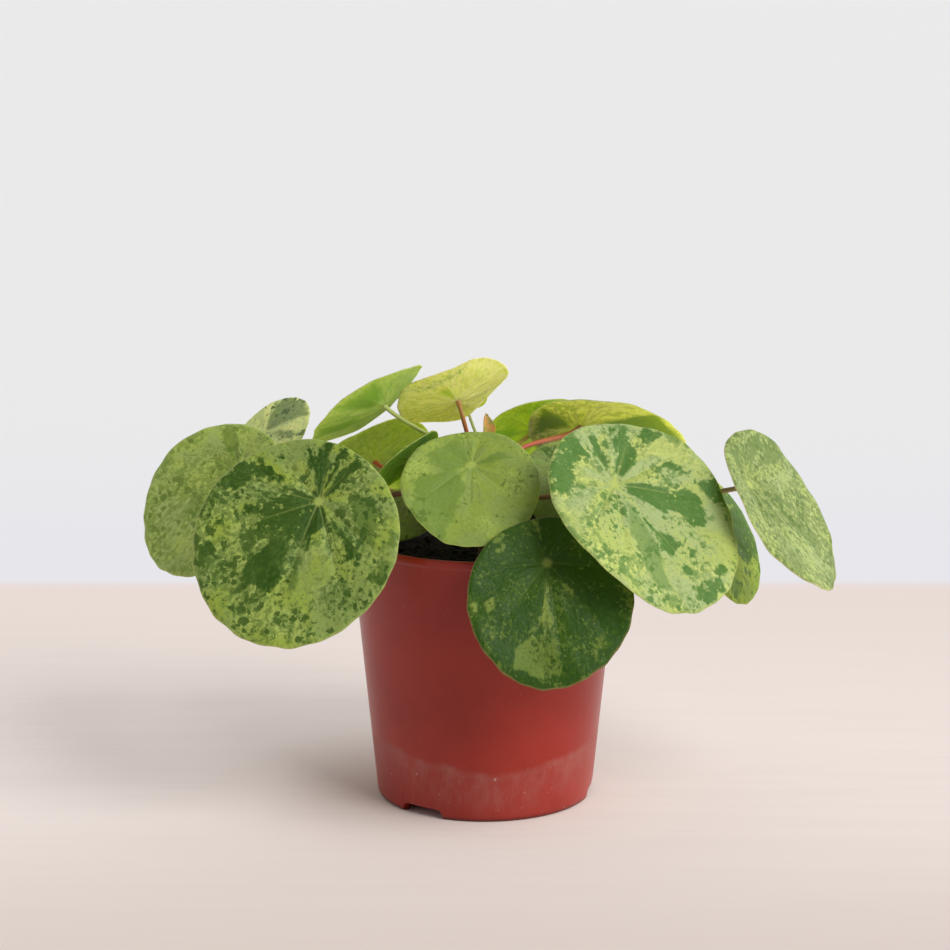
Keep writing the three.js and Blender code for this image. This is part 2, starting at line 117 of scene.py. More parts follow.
# What each leaf shows. dark, mid and pale are outlines of patches: (bearing from the tip in degrees,
# share of the way from the hub to the margin). A pale outline is a pale patch on a leaf with a dark
# ground, a calm area of painted sheen with few flecks on another upper face, and speckled cream on a
# lower face. flecks and mottle say how much of the rest is spotted, coarse and fine.
LOOKS = {
    "big_left": dict(
        dark=["200 .1 225 .2 255 .13 285 .3 300 .4 318 .42 330 .34 345 .3 365 .3 380 .24 405 .2 "
              "420 .12 430 .05", "218 .82 213 .85 207 .62 199 .4 205 .3 215 .45 221 .65",
              "200 .98 194 .97 192 .7 190 .45 187 .12 218 .12 215 .5 209 .72 203 .85",
              "184 .98 176 .98 176 .6 176 .25 185 .25 184 .6",
              "166 .95 155 .97 152 .8 156 .6 148 .35 146 .12 172 .12 170 .6",
              "268 .99 263 .77 257 .72 263 .61 258 .52 266 .46 271 .53 273 .72 283 .75 288 .84 286 .99",
              "284 .08 281 .35 292 .42 300 .62 306 .6 310 .44 318 .5 326 .46 333 .38 338 .08",
              "352 .06 341 .2 345 .33 337 .43 337 .57 340 .67 346 .75 350 .66 356 .69 361 .64 361 .5 "
              "357 .45 352 .35 356 .2 358 .08", "8 .12 22 .12 18 .3 14 .38 8 .3",
              "62 .2 68 .3 64 .45 66 .55 60 .62 53 .56 57 .4 54 .22",
              "322 .86 322 .91 317 .93 315 .87 319 .84", "252 .75 250 .82 245 .82 244 .74",
              "308 .76 311 .82 306 .84 304 .78", "304 .9 307 .95 301 .97 300 .91"],
        mid=["117 .44 120 .6 112 .73 101 .76 91 .7 76 .7 64 .64 74 .55 87 .42",
             "74 .9 73 .99 62 .99 61 .9 67 .86", "92 .82 92 .97 84 .98 82 .9",
             "278 .12 276 .4 270 .42 272 .15", "8 .45 14 .55 11 .62 6 .52"],
        pale=["225 .45 226 .98 250 .98 254 .8 246 .55", "8 .34 30 .3 42 .5 30 .7 14 .62",
              "100 .25 125 .3 122 .4 98 .36"],
        flecks=.4, mottle=.5,
        colours=dict(ground=(148, 167, 66), pale=(164, 181, 94), mid=(92, 119, 46), dark=(38, 74, 0),
                     painted_sheen=(134, 155, 88))),
    "big_right": dict(
        dark=["181 .5 176 .75 176 .98 200 .99 225 .99 243 .99 248 .85 246 .72 239 .6 230 .64 219 .66 "
              "203 .66 189 .6", "165 .8 153 .82 154 .6 156 .3 168 .3 166 .6",
              "136 .2 130 .45 134 .75 136 .95 131 .95 129 .72 125 .95 119 .97 120 .8 115 .72 106 .6 "
              "93 .37 95 .15", "110 .8 108 .97 95 .97 96 .8 103 .7",
              "98 .2 100 .42 108 .64 120 .6 130 .56 132 .35 118 .2",
              "60 .1 56 .25 51 .42 50 .55 52 .62 48 .72 37 .73 27 .72 21 .6 29 .5 18 .37 15 .2 10 .1",
              "55 .8 57 .95 47 .98 44 .85 50 .76", "78 .6 74 .68 66 .72 62 .78 60 .72 68 .62",
              "352 .45 350 .58 357 .6 363 .56 364 .5 357 .4 357 .3 352 .3",
              "352 .85 353 .99 365 .99 366 .9 360 .85", "7 .64 2 .68 5 .71 9 .68",
              "15 .66 10 .7 13 .75 18 .72", "359 .7 354 .7 353 .76 358 .76",
              "12 .86 7 .86 8 .92 13 .91"],
        mid=["235 .25 247 .5 241 .52 230 .35", "148 .55 144 .9 141 .9 144 .5",
             "341 .15 326 .4 330 .58 328 .7 332 .82 341 .84 343 .65 347 .5 346 .38 350 .2",
             "300 .15 289 .3 283 .5 280 .58 276 .5 280 .3 285 .12",
             "284 .72 288 .75 300 .84 306 .8 296 .72 288 .68", "310 .8 322 .88 320 .95 308 .9",
             "345 .86 340 .96 334 .96 338 .88"],
        pale=["236 .2 238 .55 225 .6 205 .6 192 .5 190 .25",
              "254 .3 254 .98 284 .98 280 .8 272 .6 266 .3", "96 .4 99 .98 64 .98 64 .82 80 .62 84 .42",
              "176 .8 176 .98 158 .98 164 .8",
              "340 .9 338 .7 352 .6 354 .84 20 .8 34 .78 40 .9 30 .98 8 .98"],
        flecks=.34, mottle=.44,
        colours=dict(ground=(174, 188, 100), pale=(190, 200, 112), dark=(72, 116, 40),
                     mid=(112, 142, 70), painted_sheen=(160, 178, 124))),
    "front_low": dict(
        pale=["357 .08 351 .3 348 .5 354 .58 359 .5 359 .3", "345 .62 336 .8 338 .92 354 .92 354 .7",
              "28 .22 36 .24 38 .34 32 .38 27 .28", "294 .9 296 .98 304 .98 303 .9",
              "300 .68 300 .8 309 .8 310 .7", "186 .98 193 .98 197 .75 192 .5 189 .7",
              "232 .92 236 .98 246 .98 248 .9 240 .86", "250 .7 246 .78 256 .8 257 .72"],
        mid=["357 .3 346 .5 335 .7 330 .98 362 .99 364 .8 361 .55",
             "322 .6 330 .62 338 .75 337 .95 318 .97 308 .85", "270 .8 268 .95 286 .97 288 .85",
             "206 .6 203 .9 212 .92 214 .66", "60 .8 56 .95 66 .96 68 .85",
             "20 .75 24 .9 32 .85 28 .72"],
        flecks=.3, mottle=.4, ground="dark",
        colours=dict(ground=(108, 128, 50), pale=(130, 148, 66), dark=(42, 77, 8), mid=(66, 98, 16),
                     rim=(140, 116, 76), painted_sheen=(100, 126, 48))),
    "far_left": dict(
        dark=["90 .28 110 .3 118 .5 112 .8 125 .85 135 .6 150 .3 180 .12 270 .1 340 .15 350 .35 354 .5 "
              "358 .35 380 .25 420 .27", "90 .75 92 .9 84 .99 74 .97 76 .8 84 .7",
              "24 .7 30 .75 27 .82 20 .78", "40 .5 36 .6 31 .56 34 .48"],
        mid=["215 .3 225 .6 232 .95 250 .9 252 .6 250 .3 262 .15", "272 .15 272 .45 285 .4 290 .2",
             "14 .44 18 .52 12 .56 9 .48"],
        flecks=.1, mottle=.55,
        colours=dict(ground=(172, 191, 94), pale=(182, 199, 104), mid=(122, 147, 58),
                     dark=(98, 126, 48), painted_sheen=(160, 178, 106))),
    "far_right": dict(
        mid=["150 .35 160 .6 150 .9 135 .9 128 .7 138 .4",
             "100 .2 98 .5 92 .8 80 .95 72 .75 80 .5 85 .25", "70 .4 68 .7 66 .98 52 .98 52 .7 58 .45",
             "275 .1 255 .35 275 .4 290 .4 300 .2", "20 .2 12 .45 16 .5 24 .3",
             "355 .3 350 .45 356 .5 360 .34"],
        flecks=.22, mottle=.62,
        colours=dict(ground=(164, 179, 98), pale=(180, 190, 112), mid=(98, 122, 50), dark=(84, 110, 40),
                     rim=(196, 184, 140), painted_sheen=(150, 166, 104))),
    "centre": dict(
        mid=["315 .85 316 .99 340 .99 338 .85 328 .8", "35 .88 42 .97 30 .99",
             "186 .1 200 .85 262 .8 300 .35", "300 .2 290 .8 320 .98 345 .98 352 .3",
             "120 .1 118 .6 100 .7 90 .3"],
        flecks=.04, mottle=.34, soft=True,
        colours=dict(ground=(148, 168, 72), pale=(168, 186, 88), mid=(112, 140, 58), dark=(86, 112, 32),
                     rim=(168, 180, 100), painted_sheen=(142, 162, 88))),
    "rear_left": dict(
        mid=["30 .1 35 .98 60 .99 100 .99 112 .5 90 .1", "200 .3 205 .98 240 .98 250 .4",
             "330 .5 325 .7 345 .75 350 .6", "8 .3 4 .8 14 .9 18 .4", "300 .2 290 .6 304 .7 312 .3"],
        flecks=.03, mottle=.12,
        colours=dict(ground=(220, 228, 142), pale=(232, 238, 154), mid=(106, 134, 72),
                     painted_sheen=(196, 208, 136))),
    "low_right": dict(
        dark=["165 .15 168 .98 200 .98 215 .9 225 .5 200 .2",
              "120 .35 118 .6 100 .7 75 .85 62 .99 52 .9 70 .55 100 .3", "262 .5 268 .9 275 .9 272 .6",
              "20 .1 350 .6 20 .98 60 .95 50 .4"],
        mid=["320 .6 300 .8 310 .95 330 .9", "240 .8 236 .95 246 .95"],
        flecks=.2, mottle=.3,
        colours=dict(ground=(146, 170, 44), pale=(162, 184, 56), dark=(66, 104, 0), mid=(92, 128, 14),
                     painted_sheen=(130, 156, 56))),
    "inner_right": dict(
        dark=["150 .3 150 .98 220 .98 220 .3"],
        flecks=0, mottle=.1,
        colours=dict(ground=(140, 164, 84), dark=(74, 108, 40))),
    "upper_left": dict(
        dark=["90 .3 95 .98 150 .98 150 .3", "30 .4 40 .95 60 .95 60 .4"],
        flecks=.05, mottle=.08),
    "mid_left": dict(
        dark=["240 .3 240 .95 260 .95 255 .4", "280 .6 300 .98 290 .98", "60 .3 80 .98 110 .98 100 .4"],
        flecks=.1, mottle=.1),
    "narrow": dict(dark=["120 .1 100 .98 190 .98 230 .98 220 .2"], flecks=.1, mottle=.1),
    "top": dict(
        dark=["140 .1 125 .5 150 .55 165 .3", "85 .7 88 .85 95 .8 92 .68", "190 .4 196 .5 186 .55"],
        pale=["112 .8 128 .7 150 .68 176 .74 186 .99 110 .99"],
        flecks=.1, mottle=.3,
        colours=dict(ground=(208, 214, 96), pale=(222, 228, 170), dark=(92, 120, 40),
                     mid=(146, 164, 60), rim=(226, 188, 120), painted_sheen=(206, 212, 112))),
    "upper_right": dict(
        dark=["330 .2 320 .9 350 .99 365 .7 350 .3", "160 .2 150 .98 215 .98 205 .3",
              "60 .15 66 .98 58 .98 50 .3", "40 .3 45 .98 20 .7 5 .5"],
        flecks=.08, mottle=.12,
        colours=dict(ground=(190, 198, 92), dark=(70, 112, 34), mid=(120, 152, 56))),
    "rear_right": dict(
        dark=["100 .3 95 .98 130 .98 140 .4", "300 .5 290 .98 320 .98"],
        flecks=.08, mottle=.15,
        colours=dict(ground=(160, 180, 78), dark=(84, 124, 38), mid=(120, 152, 56))),
    "bud": dict(
        flecks=0, mottle=0,
        colours=dict(ground=(212, 176, 84), pale=(206, 150, 84), rim=(190, 110, 70))),
    "inner_left": dict(flecks=.1, mottle=.2, colours=dict(ground=(140, 165, 60), dark=(80, 115, 35))),
    "young": dict(flecks=.1, mottle=.2, colours=dict(ground=(170, 190, 80))),
    "back_left": dict(
        dark=["350 .1 330 .5 340 .9 10 .95 20 .6 5 .2", "150 .1 140 .9 165 .95 170 .3",
              "240 .2 250 .8 275 .9 270 .4", "70 .3 60 .9 85 .98 90 .5"],
        mid=["110 .4 105 .8 120 .85 125 .5", "300 .5 295 .9 312 .9 310 .6"],
        flecks=.3, mottle=.35),
    "back_right": dict(
        dark=["180 .1 165 .9 200 .98 205 .4", "60 .1 45 .7 60 .98 80 .7 75 .3",
              "300 .2 290 .7 310 .9 325 .5"],
        mid=["0 .3 350 .9 15 .9 12 .4", "230 .5 225 .95 250 .95 245 .6"],
        flecks=.24, mottle=.4),
    "back_low": dict(
        pale=["0 .1 350 .6 340 .98 5 .98 8 .5", "120 .3 115 .7 130 .8 132 .4",
              "220 .5 215 .98 232 .98 230 .6"],
        mid=["60 .5 50 .95 80 .95 78 .6"],
        flecks=.12, mottle=.14, ground="dark"),
}
GROUND = dict(ground=(130, 148, 66), pale=(154, 168, 86), mid=(84, 112, 38), dark=(44, 78, 6),
              painted_sheen=(138, 154, 92), rim=(168, 178, 104))
UNDER = {          # the lower faces: what lies between the patches, and the patches
    "upper_left": ((150, 172, 98), (92, 132, 46)), "mid_left": ((140, 160, 78), (94, 122, 44)),
    "narrow": ((92, 130, 34), (52, 92, 44)), "top": ((242, 244, 146), (150, 180, 60)),
    "upper_right": ((222, 228, 140), (60, 104, 28)), "rear_right": ((160, 186, 78), (104, 152, 56)),
}
PLAIN_UNDER = ((158, 174, 92), (104, 134, 62))
HUB_GREEN = (190, 206, 104)
PETIOLES = {       # colour at the trunk and at the blade
    "top": ((176, 44, 52), (172, 126, 62)), "upper_right": ((186, 84, 62), (206, 124, 86)),
    "upper_left": ((128, 150, 62), (170, 184, 100)), "mid_left": ((170, 90, 60), (196, 104, 66)),
    "big_left": ((140, 92, 74), (150, 104, 84)), "centre": ((120, 130, 60), (150, 170, 80)),
    "bud": ((140, 150, 60), (160, 170, 70)), "young": ((140, 150, 74), (172, 182, 104)),
    "rear_right": ((200, 170, 90), (190, 170, 80)), "inner_left": ((130, 140, 60), (140, 160, 70)),
}
RED_GREEN = ((150, 84, 66), (160, 140, 84))


# ---------------------------------------------------------------- materials

def linear(colour):
    """A colour as seen on a screen, 0 to 255, in the shader's own values."""
    parts = [c / 255 for c in colour]
    return tuple(c / 12.92 if c <= 0.04045 else ((c + 0.055) / 1.055) ** 2.4 for c in parts) + (1.0,)


def blend(first, second, amount):
    return tuple(a + (b - a) * amount for a, b in zip(first, second))


class Wire:
    """A socket of a material. Sums and products of wires add Math nodes."""

    def __init__(self, finish, socket):
        self.finish, self.socket = finish, socket

    def __add__(self, other):
        return self.finish.maths("ADD", self, other)

    def __sub__(self, other):
        return self.finish.maths("SUBTRACT", self, other)

    def __rsub__(self, other):
        return self.finish.maths("SUBTRACT", other, self)

    def __mul__(self, other):
        return self.finish.maths("MULTIPLY", self, other)

    def __pow__(self, other):
        return self.finish.maths("POWER", self, other)

    __radd__, __rmul__ = __add__, __mul__

    def most(self, other):
        return self.finish.maths("MAXIMUM", self, other)


class Finish:
    """A material in the making: its nodes, and the Principled shader that they feed."""

    def __init__(self, name, **constants):
        self.material = bpy.data.materials.new(name)
        self.material.use_nodes = True
        self.tree = self.material.node_tree
        self.shader = self.tree.nodes["Principled BSDF"]
        for socket, value in constants.items():
            self.shader.inputs[socket.replace("_", " ")].default_value = value

    def node(self, kind, settings=None, inputs=None, output=0):
        """Any node: its type, its settings, then the values or wires of its sockets."""
        made = self.tree.nodes.new(kind)
        for key, value in (settings or {}).items():
            setattr(made, key, value)
        for key, value in (inputs or {}).items():
            if isinstance(value, Wire):
                self.tree.links.new(value.socket, made.inputs[key])
            else:
                made.inputs[key].default_value = value
        return Wire(self, made.outputs[output])

    def maths(self, operation, *values):
        return self.node("ShaderNodeMath", {"operation": operation}, dict(enumerate(values)))

    def vectors(self, operation, *values):
        return self.node("ShaderNodeVectorMath", {"operation": operation}, dict(enumerate(values)))

    def feed(self, socket, wire):
        self.tree.links.new(wire.socket, self.shader.inputs[socket])

    def attribute(self, name, output=1):
        return self.node("ShaderNodeAttribute", {"attribute_name": name}, output=output)

    def place(self):
        return self.node("ShaderNodeTexCoord", output=3)

    def split(self, vector):
        apart = self.node("ShaderNodeSeparateXYZ", inputs={0: vector})
        return [Wire(self, socket) for socket in apart.socket.node.outputs]

    def join(self, x, y, z):
        return self.node("ShaderNodeCombineXYZ", inputs={0: x, 1: y, 2: z})

    def stretch(self, vector, x, y, z):
        return self.vectors("MULTIPLY", vector, (x, y, z))

    def noise(self, vector, scale, detail, roughness):
        return self.node("ShaderNodeTexNoise", None,
                         {"Vector": vector, "Scale": scale, "Detail": detail, "Roughness": roughness})

    def cells(self, vector, scale):
        """A number of its own for each angular cell."""
        colour = self.node("ShaderNodeTexVoronoi", None, {"Vector": vector, "Scale": scale}, output=1)
        return self.split(colour)[0]

    def blots(self, vector, scale, share, drift):
        """Separate round blots of many sizes on about a share of the face, more where drift is high."""
        near = self.node("ShaderNodeTexVoronoi", None, {"Vector": vector, "Scale": scale})
        largest = (-math.log(1 - share) / 1.39) ** 0.25
        reach = (self.cells(vector, scale) + drift + (largest - 1.0)) * 1.1
        return self.step(reach - near, -0.06, 0.12)

    def seams(self, vector, scale):
        """The distance from the seams between cells."""
        return self.node("ShaderNodeTexVoronoi", {"feature": "DISTANCE_TO_EDGE"},
                         {"Vector": vector, "Scale": scale})

    def step(self, value, low, high):
        """0 below low and 1 above high."""
        return self.node("ShaderNodeMapRange", {"interpolation_type": "SMOOTHSTEP"},
                         {0: value, 1: low, 2: high, 3: 0.0, 4: 1.0})

    def mix(self, amount, first, second):
        return self.node("ShaderNodeMix", {"data_type": "RGBA"}, {0: amount, 6: first, 7: second}, 2)

    def dim(self, colour, amount):
        """A colour made darker or lighter by a wire."""
        return self.node("ShaderNodeVectorMath", {"operation": "SCALE"}, {0: colour, "Scale": amount})

    def bump(self, height, distance, strength):
        self.feed("Normal", self.node("ShaderNodeBump", None,
                                      {"Height": height, "Distance": distance, "Strength": strength}))


class Sky(Finish):
    """The world's nodes, written in the same way."""

    def __init__(self, world):
        self.tree = world.node_tree
        self.shader = self.tree.nodes["Background"]
        self.shader.inputs["Color"].default_value = (1, 1, 1, 1)


class BladeSkin(Finish):
    """The variegated skin of one leaf, of its upper face or of the paler lower one."""

    def __init__(self, name, look, lower):
        super().__init__(f"leaf_{name}_{'lower' if lower else 'upper'}", Roughness=0.5,
                         Subsurface_Weight=1.0 if lower else 0.35,
                         Subsurface_Scale=0.006 if lower else 0.0015,
                         Subsurface_Radius=(0.9, 1.0, 0.3), Specular_IOR_Level=0.24)
        self.lower, self.soft, self.mottle = lower, look.get("soft"), look["mottle"]
        self.dark_leaf = look.get("ground") == "dark"
        tones = {**GROUND, **look.get("colours", {})}
        self.colours = {key: linear(tone) for key, tone in tones.items()}
        self.under = [linear(colour) for colour in UNDER.get(name, PLAIN_UNDER)]
        self.flat = self.attribute("flat")
        along, across, self.seed = self.split(self.flat)
        self.share = self.attribute("share", output=2)
        self.radius = (along * along + across * across) ** 0.5
        self.bearing = self.maths("ARCTAN2", across, along)
        self.away = self.split(self.vectors("NORMALIZE", self.join(along, across, 0.0)))

        # Noise that runs outward from the hub, coarse and fine, and noise that runs no way.
        self.rays = self.ray_noise(8.0, self.share * 5.0 + self.seed, 3.0, 0.55)
        self.thin_rays = self.ray_noise(13.0, self.share * 10.0 - self.seed, 3.0, 0.5)
        self.chips = self.noise(self.flat, 0.5, 3.0, 0.55)
        self.dust = self.noise(self.flat, 1.3, 3.0, 0.7)
        self.region = self.noise(self.flat, 0.06, 1.0, 0.5) - 0.5
        self.set_patches()
        self.set_flecks(look["flecks"])

    def ray_noise(self, turn, run, detail, roughness):
        """Noise drawn out from the hub: as fine as turn round it, and changing outward with run."""
        place = self.join(self.away[0] * turn, self.away[1] * turn, run)
        return self.noise(place, 1.0, detail, roughness)

    def set_patches(self):
        """The hand-set patches, with edges that are ragged away from the hub."""
        depths = self.split(self.attribute("patches"))
        ragged = (self.rays - 0.5) * 6.0 + (self.thin_rays - 0.5) * 4.0 + (self.chips - 0.5) * 3.0
        ragged = ragged * (self.step(self.radius, 3.0, 24.0) * 0.8 + 0.2)
        blur = 2.6 if self.lower else 1.2 if self.soft else 0.7
        fade = blur if self.dark_leaf or self.lower else 3.0
        self.dark = self.step(depths[0] + ragged, -blur, blur)
        self.mid = self.step(depths[1] + ragged, -1.2, 1.2)
        self.pale = self.step(depths[2] + ragged * 0.7, -fade, fade)

    def set_flecks(self, flecks):
        """Blots in two sizes, in a place that is bent a little so that they aren't round."""
        bend = self.node("ShaderNodeTexNoise", None, {"Vector": self.flat, "Scale": 0.3, "Detail": 2.0},
                         output=1)
        self.bent = self.vectors("MULTIPLY_ADD", bend, (4, 4, 0), self.flat)
        blots = self.blots(self.bent, 0.3, flecks * 0.5 + 0.01,
                           self.region * 1.6 + (self.chips - 0.5) * 0.9)
        crumbs = self.blots(self.bent, 0.62, flecks * 0.4 + 0.01,
                            self.region * 1.2 + (self.dust - 0.5) * 0.8)
        self.flecked = blots.most(crumbs * 0.75)

    def upper_colours(self):
        """Green patches, flecks and mottling on a paler ground, with streaks of painted sheen. A dark
        leaf has it the other way.
        """
        tones = self.colours
        grain = self.ray_noise(24.0, self.share * 20.0 + self.seed, 2.0, 0.5)
        cloud = (grain * 0.3 + self.thin_rays * 0.2 + self.chips * 0.35 + self.dust * 0.15
                 + self.region * 0.3)
        level = 0.5 + (0.5 - self.mottle) * 0.3
        spread = 3.0 if self.soft else 1.0
        mottled = self.step(cloud, level - 0.05 * spread, level + 0.07 * spread)
        # Painted sheen: broad streaks that turn the ground towards a paler grey-green, where the glossy
        # face would catch the light.
        sheen_veil = self.ray_noise(2.2, self.share * 2.0 + self.seed * 3.0, 3.0, 0.5)
        sheen_veil = self.step(sheen_veil + (self.chips - 0.5) * 0.25, 0.4, 0.6)
        motes = self.step(self.cells(self.flat, 0.8), 0.92, 0.96) * self.step(self.chips, 0.46, 0.55)
        ground = self.mix(self.step(self.region + 0.5, 0.4, 0.6), tones["ground"], tones["pale"])
        ground = self.mix(sheen_veil * 0.75, ground, tones["painted_sheen"])
        green = self.mix(self.step(grain, 0.45, 0.7) * 0.4, tones["dark"], tones["mid"])
        green = self.mix(self.step(self.region + 0.5, 0.44, 0.6) * 0.2, green, tones["mid"])
        if self.dark_leaf:
            skin = self.mix(mottled * 0.6, green, tones["mid"])
            skin = self.mix(self.mid * mottled * 0.8, skin, tones["ground"])
            skin = self.mix(self.pale * (1.0 - self.flecked * 0.8), skin, ground)
            sparks = self.blots(self.bent, 0.75, 0.05, self.region * 1.4 + (self.dust - 0.5) * 0.8)
            return self.mix(sparks.most(motes) * 0.55, skin, tones["ground"])
        # Inside a pale outline, an area of painted sheen, mottling and flecks are held back.
        clear = 1.0 - self.pale * 0.65
        skin = self.mix(mottled * clear * 0.75, ground, tones["mid"])
        skin = self.mix(self.mid * 0.78, skin, tones["mid"])
        skin = self.mix(self.flecked * clear * 0.85, skin, green)
        slots = self.blots(self.bent, 0.45, 0.05, self.region) * 0.7
        skin = self.mix(self.dark * (0.97 - slots), skin, green)
        return self.mix(motes * 0.5, skin, tones["mid"])

    def lower_colours(self):
        """The patches show through more softly. A pale outline is speckled cream."""
        between, patches = self.under
        marks = 1.0 - self.pale if self.dark_leaf else self.dark.most(self.flecked * 0.6)
        streaked = self.step(self.rays * 0.6 + self.thin_rays * 0.4, 0.44, 0.62)
        back = self.mix(marks.most(self.mid * 0.5).most(streaked * 0.6) * 0.85, between, patches)
        speckled = self.step(self.dust * 0.6 + self.chips * 0.4, 0.48, 0.54)
        cream = self.mix(speckled, self.colours["pale"], self.colours["dark"])
        return self.mix(self.pale * 0.8, back, cream)

    def paint(self):
        """Colours, veins, hub and rim, and the fine relief."""
        pale, rays, chips = self.colours["pale"], self.rays, self.chips
        skin = self.lower_colours() if self.lower else self.upper_colours()
        turns = self.bearing * (VEINS / (2 * math.pi))
        turns = turns + self.maths("SINE", self.bearing * VEIN_WAVES + self.seed) * VEIN_SWAY
        swing = self.maths("PINGPONG", turns, 0.5)
        from_vein = swing * self.radius * (2 * math.pi / VEINS) + (chips - 0.5) * 0.5
        vein = (1.0 - self.step(from_vein, 0.1, 0.7)) * (1.0 - self.step(self.share, 0.08, 0.8))
        vein_shows = 0.45 if self.lower else 0.14 if self.dark_leaf or self.soft else 0.3
        hub = 1.0 - self.step(self.radius, 1.0, 3.0)
        hub_shows = 0.5 if self.dark_leaf else 0.8
        rim = self.step(self.share + (rays - 0.5) * 0.03, 0.985, 0.998)
        skin = self.mix(vein * vein_shows, skin, pale)
        skin = self.mix(hub * hub_shows, skin, blend(pale, linear(HUB_GREEN), 0.6))
        skin = self.mix(rim * 0.5, skin, self.colours["rim"])
        self.feed("Base Color", self.dim(skin, self.dust * 0.4 + 0.8))
        self.feed("Roughness", chips * 0.3 + (0.5 if self.lower else 0.4))
        net = self.step(self.seams(self.flat, 0.24), 0.0, 0.2)
        vein_height = 0.9 if self.lower else -0.6
        self.bump(net * 0.2 + vein * vein_height + chips * 0.8 + rays * 1.2, 0.0006, 0.6)
        return self.material


def petiole_skin(name):
    """A smooth stalk that turns from red to green, with fine lengthwise streaks."""
    finish = Finish(f"petiole_{name}", Roughness=0.42, Subsurface_Weight=0.1, Subsurface_Scale=0.001)
    trunk, tip = [linear(colour) for colour in PETIOLES.get(name, RED_GREEN)]
    run, turn, seed = finish.split(finish.attribute("along_it"))
    streaks = finish.noise(finish.join(turn * 3.0, run * 6.0, seed), 2.0, 4.0, 0.6)
    skin = finish.mix(finish.step(run + (streaks - 0.5) * 0.5, 0.15, 0.9), trunk, tip)
    specks = finish.step(finish.noise(finish.place(), 900.0, 2.0, 0.6), 0.62, 0.68)
    skin = finish.mix(specks * 0.35, skin, linear((120, 60, 48)))
    finish.feed("Base Color", finish.dim(skin, streaks * 0.5 + 0.75))
    finish.feed("Roughness", streaks * 0.2 + 0.34)
    finish.bump(streaks, 0.0002, 0.4)
    return finish.material


def pot_skin():
    """Terracotta-red plastic: scuffed, with painted shade where it stands, and a dusty line of
    limescale.
    """
    finish = Finish("pot_plastic", Roughness=0.34, Specular_IOR_Level=0.34)
    place = finish.place()
    x, y, z = finish.split(place)
    round_it = finish.maths("ARCTAN2", x, 0.0 - y)
    slow = finish.noise(place, 26.0, 3.0, 0.6)
    scuffs = finish.noise(finish.stretch(place, 500.0, 500.0, 60.0), 1.0, 4.0, 0.7)
    fine = finish.noise(place, 1500.0, 3.0, 0.6)
    red = finish.mix(finish.step(slow, 0.3, 0.7), linear((144, 36, 24)), linear((153, 42, 29)))

    # The limescale ends in a wavering line about 3 cm up.
    swell = finish.maths("SINE", round_it * 2.6 + 1.4) * 0.0035
    edge = finish.noise(finish.stretch(place, 1.0, 1.0, 0.3), 45.0, 4.0, 0.6) * 0.01
    height = z + swell + edge
    below = 1.0 - finish.step(height, 0.0295, 0.033)
    fading = finish.step(height, 0.006, 0.026)
    film = finish.step(finish.noise(finish.stretch(place, 1.0, 1.0, 0.5), 140.0, 6.0, 0.75), 0.38, 0.66)
    line = below * finish.step(height, 0.0268, 0.0294)
    dusty = below * (fading * (film * 0.3 + 0.12) + film * 0.05) + line * 0.12
    skin = finish.mix(dusty * 0.5, red, linear((160, 128, 120)))

    scratch = finish.step(scuffs, 0.66, 0.76)
    skin = finish.mix(scratch * 0.07, skin, linear((200, 120, 100)))
    specks = finish.step(finish.noise(place, 420.0, 2.0, 0.5), 0.72, 0.77)
    skin = finish.mix(specks * (below * 0.4 + 0.08), skin, linear((196, 176, 166)))
    # Painted shade: a dark band at the very foot, where the pot stands on the floor.
    painted_foot_shade = 1.0 - finish.step(z, 0.0006, 0.0026)
    skin = finish.mix(painted_foot_shade * 0.6, skin, linear((62, 24, 20)))
    finish.feed("Base Color", finish.dim(skin, slow * 0.16 + 0.92))
    finish.feed("Roughness", dusty * 0.35 + scratch * 0.12 + slow * 0.12 + 0.26)
    finish.bump(fine * 0.3 + scuffs * 0.7, 0.0001, 0.5)
    return finish.material


def pot_lining():
    """The black inside of the pot."""
    finish = Finish("pot_lining", Roughness=0.55)
    place = finish.place()
    cloud = finish.noise(place, 160.0, 4.0, 0.6)
    finish.feed("Base Color", finish.mix(cloud, linear((10, 10, 11)), linear((24, 22, 22))))
    finish.feed("Roughness", cloud * 0.3 + 0.4)
    finish.bump(finish.noise(place, 900.0, 3.0, 0.6), 0.0001, 0.5)
    return finish.material


def peat():
    """Dark peat: fibres, crumbs and a few paler bits."""
    finish = Finish("peat", Roughness=0.95, Specular_IOR_Level=0.2)
    place = finish.place()
    crumbs = finish.cells(place, 520.0)
    cloud = finish.noise(place, 240.0, 5.0, 0.7)
    fibres = finish.noise(finish.stretch(place, 900.0, 220.0, 400.0), 1.0, 4.0, 0.6)
    skin = finish.mix(cloud, linear((10, 8, 8)), linear((27, 21, 16)))
    skin = finish.mix(crumbs * 0.4, skin, linear((22, 17, 13)))
    skin = finish.mix(finish.step(fibres, 0.6, 0.7) * 0.35, skin, linear((56, 43, 32)))
    finish.feed("Base Color", skin)
    finish.bump(cloud + crumbs * 0.5, 0.0008, 0.8)
    return finish.material


def bark():
    """The trunk's grey-brown skin, greener towards the crown, with a darker ring at each scar."""
    finish = Finish("trunk_bark", Roughness=0.8)
    place = finish.place()
    _, _, z = finish.split(place)
    from_scar = finish.maths("PINGPONG", z * (1000 / SCAR_STEP) + 0.33, 0.5)
    cork = finish.noise(finish.stretch(place, 900.0, 900.0, 300.0), 1.0, 5.0, 0.65)
    skin = finish.mix(finish.step(cork, 0.3, 0.7), linear((86, 66, 44)), linear((142, 116, 82)))
    skin = finish.mix(finish.step(z, 0.13, 0.156) * 0.7, skin, linear((122, 138, 66)))
    skin = finish.mix((1.0 - finish.step(from_scar, 0.0, 0.18)) * 0.6, skin, linear((60, 42, 30)))
    finish.feed("Base Color", skin)
    finish.feed("Roughness", cork * 0.3 + 0.6)
    finish.bump(cork, 0.0005, 0.7)
    return finish.material


# ---------------------------------------------------------------- meshes

